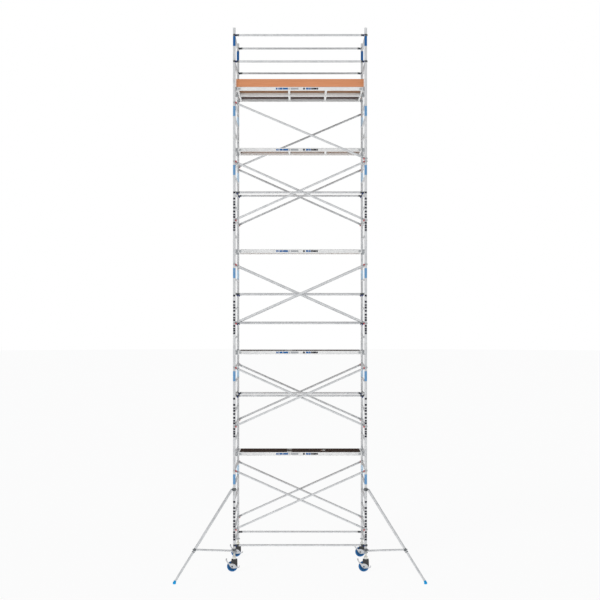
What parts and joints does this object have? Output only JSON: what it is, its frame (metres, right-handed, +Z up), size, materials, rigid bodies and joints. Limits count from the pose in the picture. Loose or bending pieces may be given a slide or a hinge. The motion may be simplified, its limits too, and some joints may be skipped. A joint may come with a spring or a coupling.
{
  "type": "mobile tower scaffold",
  "caption": "Tall aluminium access tower of ladder frames and diagonal braces, with hatch platforms, guardrails, toe boards, braked swivel castors and swinging stabilisers.",
  "frame": {"origin": "centre of the footprint on the floor, under the middle of the whole object's box", "axes": "+Z up; +X along the platforms to the right as seen from the stabilisers' side; -Y towards the side with the stabilisers"},
  "size_m": [4.6196, 2.4548, 10.3397],
  "materials": {
    "aluminium": "mill finish extrusion, lightly brushed",
    "zinc": "bright zinc plate",
    "fork_paint": "black semi-gloss paint",
    "castor_tyre": "blue non-marking tyre",
    "deck_plywood": "dark phenolic-coated plywood",
    "toe_board_plywood": "orange-brown coated plywood",
    "claw_paint": "dark grey cast claws and couplers",
    "trigger_red": "red release triggers of the diagonals",
    "trigger_navy": "navy release triggers of the rails",
    "foot_rubber": "bright blue rubber foot",
    "label_blue": "plain blue sleeve label"
  },
  "bodies": {
    "tower": {"left_base_frame": "aluminium", "left_frame_2": "aluminium", "left_frame_3": "aluminium", "left_frame_4": "aluminium", "left_short_frame": "aluminium", "left_guardrail_frame": "aluminium", "right_base_frame": "aluminium", "right_frame_2": "aluminium", "right_frame_3": "aluminium", "right_frame_4": "aluminium", "right_short_frame": "aluminium", "right_guardrail_frame": "aluminium", "front_cross_brace_1": "aluminium", "front_cross_brace_2": "aluminium", "front_cross_brace_3": "aluminium", "front_cross_brace_4": "aluminium", "front_top_brace": "aluminium", "front_base_rail": "aluminium", "front_mid_guardrail": "aluminium", "front_top_guardrail": "aluminium", "front_top_platform": "aluminium", "rear_cross_brace_1": "aluminium", "rear_cross_brace_2": "aluminium", "rear_cross_brace_3": "aluminium", "rear_cross_brace_4": "aluminium", "rear_top_brace": "aluminium", "rear_base_rail": "aluminium", "rear_mid_guardrail": "aluminium", "rear_top_guardrail": "aluminium", "rear_top_platform": "aluminium", "platform_1": "aluminium", "platform_2": "aluminium", "platform_3": "aluminium", "platform_4": "aluminium", "toe_boards": "toe_board_plywood"},
    "front_left_castor_leg": {"front_left_castor_leg": "zinc"},
    "front_left_castor_fork": {"front_left_castor_fork": "fork_paint"},
    "front_left_castor_wheel": {"front_left_castor_wheel": "castor_tyre"},
    "front_left_castor_brake_pedal": {"front_left_castor_brake_pedal": "zinc"},
    "rear_left_castor_leg": {"rear_left_castor_leg": "zinc"},
    "rear_left_castor_fork": {"rear_left_castor_fork": "fork_paint"},
    "rear_left_castor_wheel": {"rear_left_castor_wheel": "castor_tyre"},
    "rear_left_castor_brake_pedal": {"rear_left_castor_brake_pedal": "zinc"},
    "front_right_castor_leg": {"front_right_castor_leg": "zinc"},
    "front_right_castor_fork": {"front_right_castor_fork": "fork_paint"},
    "front_right_castor_wheel": {"front_right_castor_wheel": "castor_tyre"},
    "front_right_castor_brake_pedal": {"front_right_castor_brake_pedal": "zinc"},
    "rear_right_castor_leg": {"rear_right_castor_leg": "zinc"},
    "rear_right_castor_fork": {"rear_right_castor_fork": "fork_paint"},
    "rear_right_castor_wheel": {"rear_right_castor_wheel": "castor_tyre"},
    "rear_right_castor_brake_pedal": {"rear_right_castor_brake_pedal": "zinc"},
    "left_stabiliser_leg": {"left_stabiliser_leg": "aluminium"},
    "left_stabiliser_foot": {"left_stabiliser_foot": "aluminium"},
    "right_stabiliser_leg": {"right_stabiliser_leg": "aluminium"},
    "right_stabiliser_foot": {"right_stabiliser_foot": "aluminium"},
    "platform_1_hatch": {"platform_1_hatch": "deck_plywood"},
    "platform_2_hatch": {"platform_2_hatch": "deck_plywood"},
    "platform_3_hatch": {"platform_3_hatch": "deck_plywood"},
    "platform_4_hatch": {"platform_4_hatch": "deck_plywood"},
    "front_top_platform_hatch": {"front_top_platform_hatch": "deck_plywood"}
  },
  "joints": [
    {"name": "front_left_castor_height", "type": "slide", "parent": "tower", "child": "front_left_castor_leg", "axis": [0, 0, -1], "range_m": [0, 0.2]},
    {"name": "front_left_castor_swivel", "type": "hinge", "parent": "front_left_castor_leg", "child": "front_left_castor_fork", "pos_m": [-1.25, -0.16759, 0.2], "axis": [0, 0, 1], "continuous": true},
    {"name": "front_left_castor_spin", "type": "hinge", "parent": "front_left_castor_fork", "child": "front_left_castor_wheel", "pos_m": [-1.288, -0.16759, 0.1], "axis": [0, 1, 0], "continuous": true},
    {"name": "front_left_castor_brake", "type": "hinge", "parent": "front_left_castor_fork", "child": "front_left_castor_brake_pedal", "pos_m": [-1.288, -0.16759, 0.1], "axis": [0, -1, 0], "range_deg": [0, 18]},
    {"name": "rear_left_castor_height", "type": "slide", "parent": "tower", "child": "rear_left_castor_leg", "axis": [0, 0, -1], "range_m": [0, 0.2]},
    {"name": "rear_left_castor_swivel", "type": "hinge", "parent": "rear_left_castor_leg", "child": "rear_left_castor_fork", "pos_m": [-1.25, 1.18241, 0.2], "axis": [0, 0, 1], "continuous": true},
    {"name": "rear_left_castor_spin", "type": "hinge", "parent": "rear_left_castor_fork", "child": "rear_left_castor_wheel", "pos_m": [-1.288, 1.18241, 0.1], "axis": [0, 1, 0], "continuous": true},
    {"name": "rear_left_castor_brake", "type": "hinge", "parent": "rear_left_castor_fork", "child": "rear_left_castor_brake_pedal", "pos_m": [-1.288, 1.18241, 0.1], "axis": [0, -1, 0], "range_deg": [0, 18]},
    {"name": "front_right_castor_height", "type": "slide", "parent": "tower", "child": "front_right_castor_leg", "axis": [0, 0, -1], "range_m": [0, 0.2]},
    {"name": "front_right_castor_swivel", "type": "hinge", "parent": "front_right_castor_leg", "child": "front_right_castor_fork", "pos_m": [1.25, -0.16759, 0.2], "axis": [0, 0, 1], "continuous": true},
    {"name": "front_right_castor_spin", "type": "hinge", "parent": "front_right_castor_fork", "child": "front_right_castor_wheel", "pos_m": [1.212, -0.16759, 0.1], "axis": [0, 1, 0], "continuous": true},
    {"name": "front_right_castor_brake", "type": "hinge", "parent": "front_right_castor_fork", "child": "front_right_castor_brake_pedal", "pos_m": [1.212, -0.16759, 0.1], "axis": [0, -1, 0], "range_deg": [0, 18]},
    {"name": "rear_right_castor_height", "type": "slide", "parent": "tower", "child": "rear_right_castor_leg", "axis": [0, 0, -1], "range_m": [0, 0.2]},
    {"name": "rear_right_castor_swivel", "type": "hinge", "parent": "rear_right_castor_leg", "child": "rear_right_castor_fork", "pos_m": [1.25, 1.18241, 0.2], "axis": [0, 0, 1], "continuous": true},
    {"name": "rear_right_castor_spin", "type": "hinge", "parent": "rear_right_castor_fork", "child": "rear_right_castor_wheel", "pos_m": [1.212, 1.18241, 0.1], "axis": [0, 1, 0], "continuous": true},
    {"name": "rear_right_castor_brake", "type": "hinge", "parent": "rear_right_castor_fork", "child": "rear_right_castor_brake_pedal", "pos_m": [1.212, 1.18241, 0.1], "axis": [0, -1, 0], "range_deg": [0, 18]},
    {"name": "left_stabiliser_swing", "type": "hinge", "parent": "tower", "child": "left_stabiliser_leg", "pos_m": [-1.25, -0.16759, 1], "axis": [0, 0, 1], "range_deg": [-45, 45]},
    {"name": "left_stabiliser_extend", "type": "slide", "parent": "left_stabiliser_leg", "child": "left_stabiliser_foot", "axis": [-0.4768, -0.4768, -0.7385], "range_m": [-0.45, 0.15]},
    {"name": "right_stabiliser_swing", "type": "hinge", "parent": "tower", "child": "right_stabiliser_leg", "pos_m": [1.25, -0.16759, 1], "axis": [0, 0, 1], "range_deg": [-45, 45]},
    {"name": "right_stabiliser_extend", "type": "slide", "parent": "right_stabiliser_leg", "child": "right_stabiliser_foot", "axis": [0.4768, -0.4768, -0.7385], "range_m": [-0.45, 0.15]},
    {"name": "platform_1_hatch_hinge", "type": "hinge", "parent": "tower", "child": "platform_1_hatch", "pos_m": [-0.205, 0.50741, 2.225], "axis": [0, -1, 0], "range_deg": [0, 100]},
    {"name": "platform_2_hatch_hinge", "type": "hinge", "parent": "tower", "child": "platform_2_hatch", "pos_m": [-0.205, 0.50741, 4.185], "axis": [0, -1, 0], "range_deg": [0, 100]},
    {"name": "platform_3_hatch_hinge", "type": "hinge", "parent": "tower", "child": "platform_3_hatch", "pos_m": [-0.205, 0.50741, 6.145], "axis": [0, -1, 0], "range_deg": [0, 100]},
    {"name": "platform_4_hatch_hinge", "type": "hinge", "parent": "tower", "child": "platform_4_hatch", "pos_m": [-0.205, 0.50741, 8.105], "axis": [0, -1, 0], "range_deg": [0, 100]},
    {"name": "front_top_platform_hatch_hinge", "type": "hinge", "parent": "tower", "child": "front_top_platform_hatch", "pos_m": [-0.205, 0.17741, 9.225], "axis": [0, -1, 0], "range_deg": [0, 100]}
  ]
}
